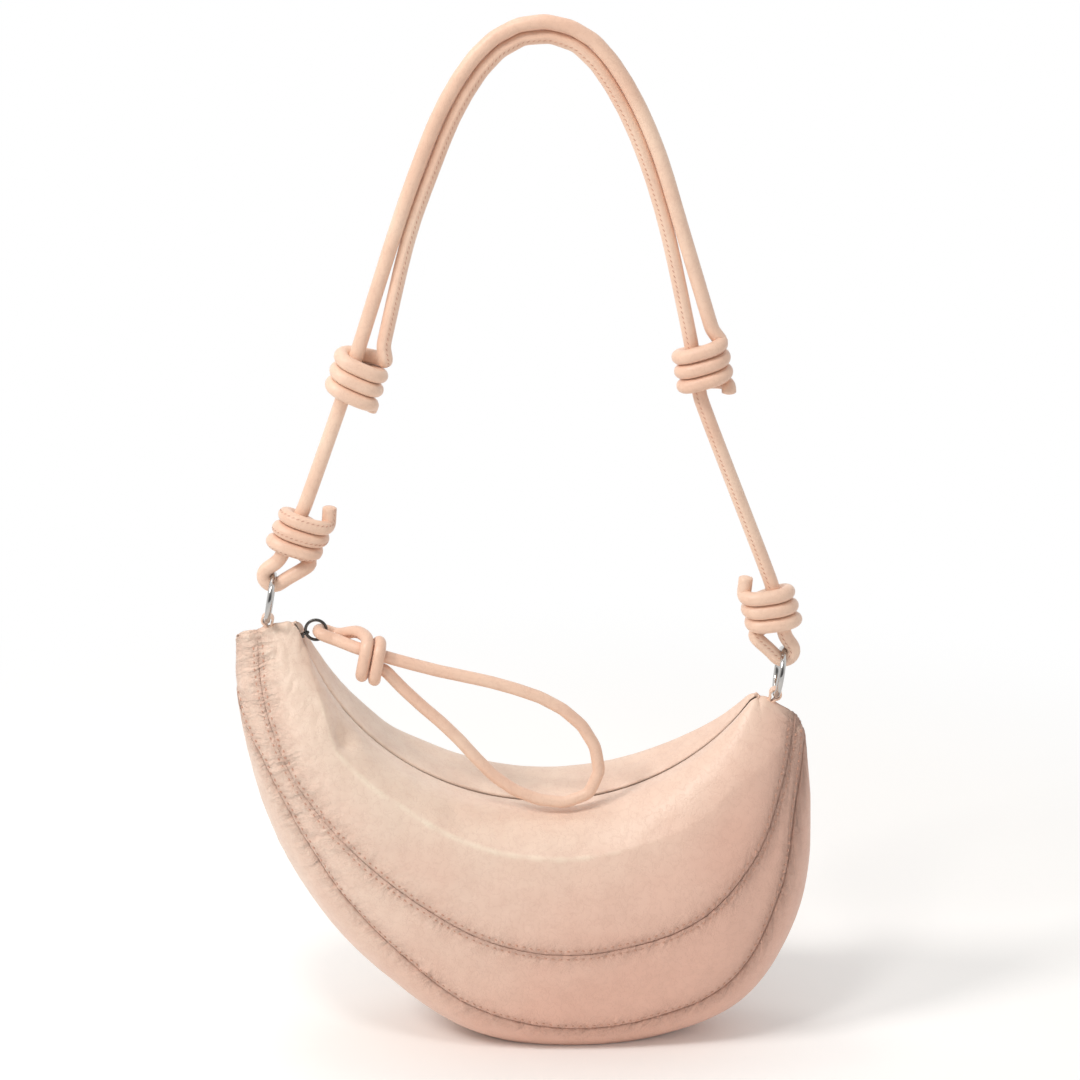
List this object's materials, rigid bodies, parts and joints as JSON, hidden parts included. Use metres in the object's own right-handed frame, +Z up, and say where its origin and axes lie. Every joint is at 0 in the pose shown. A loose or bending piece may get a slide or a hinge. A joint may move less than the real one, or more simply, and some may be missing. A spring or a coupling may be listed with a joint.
{
  "type": "shoulder bag",
  "caption": "Crescent-shaped soft leather shoulder bag with a curved zip, a knotted cord puller and a knotted cord strap on steel rings.",
  "frame": {"origin": "on the floor under the middle of the bag's overall box", "axes": "+X to the right as seen from the front, +Y to the back, +Z up through the top of the strap"},
  "size_m": [0.3347, 0.1132, 0.6088],
  "materials": {
    "leather": "soft satin, fine grain",
    "lining": "matt twill",
    "tape": "matt woven",
    "teeth": "dark plated",
    "cord": "rolled, satin",
    "steel": "polished",
    "gunmetal": "dark plated"
  },
  "bodies": {
    "bag": {"front_upper_panel": "leather", "front_lower_panel": "leather", "base_panel": "leather", "back_lower_panel": "leather", "back_upper_panel": "leather", "lining_front": "lining", "lining_back": "lining", "zip_tape_front": "tape", "zip_tape_back": "tape", "zip_teeth_front": "teeth", "zip_teeth_back": "teeth", "zip_stop_left": "teeth", "zip_stop_right": "teeth", "tab_left": "leather", "tab_right": "leather"},
    "slider": {"zip_slider": "gunmetal"},
    "slider_ring": {"pull_ring": "gunmetal"},
    "puller": {"pull_cord": "cord"},
    "left_ring": {"ring_left": "steel"},
    "right_ring": {"ring_right": "steel"},
    "strap": {"strap_cord_left": "cord", "strap_cord_right": "cord"}
  },
  "joints": [
    {"name": "zip_slide", "type": "hinge", "parent": "bag", "child": "slider", "pos_m": [0.011, 0, 0.293], "axis": [0, -1, 0], "range_deg": [0, 121]},
    {"name": "pull_ring_swing", "type": "hinge", "parent": "slider", "child": "slider_ring", "pos_m": [-0.1261, 0, 0.24927], "axis": [0.3092, 0, -0.951], "range_deg": [0, 35]},
    {"name": "puller_lift", "type": "hinge", "parent": "slider_ring", "child": "puller", "pos_m": [-0.12039, 0, 0.25113], "axis": [0, -1, 0], "range_deg": [0, 60]},
    {"name": "left_ring_turn", "type": "hinge", "parent": "bag", "child": "left_ring", "pos_m": [-0.14614, 0, 0.27082], "axis": [0.9882, 0, -0.1529], "continuous": true},
    {"name": "right_ring_turn", "type": "hinge", "parent": "bag", "child": "right_ring", "pos_m": [0.14776, 0, 0.22534], "axis": [0.9882, 0, -0.1529], "continuous": true},
    {"name": "strap_swing", "type": "hinge", "parent": "bag", "child": "strap", "pos_m": [-0.14614, 0, 0.27082], "axis": [0.9882, 0, -0.1529], "range_deg": [-130, 130]}
  ]
}
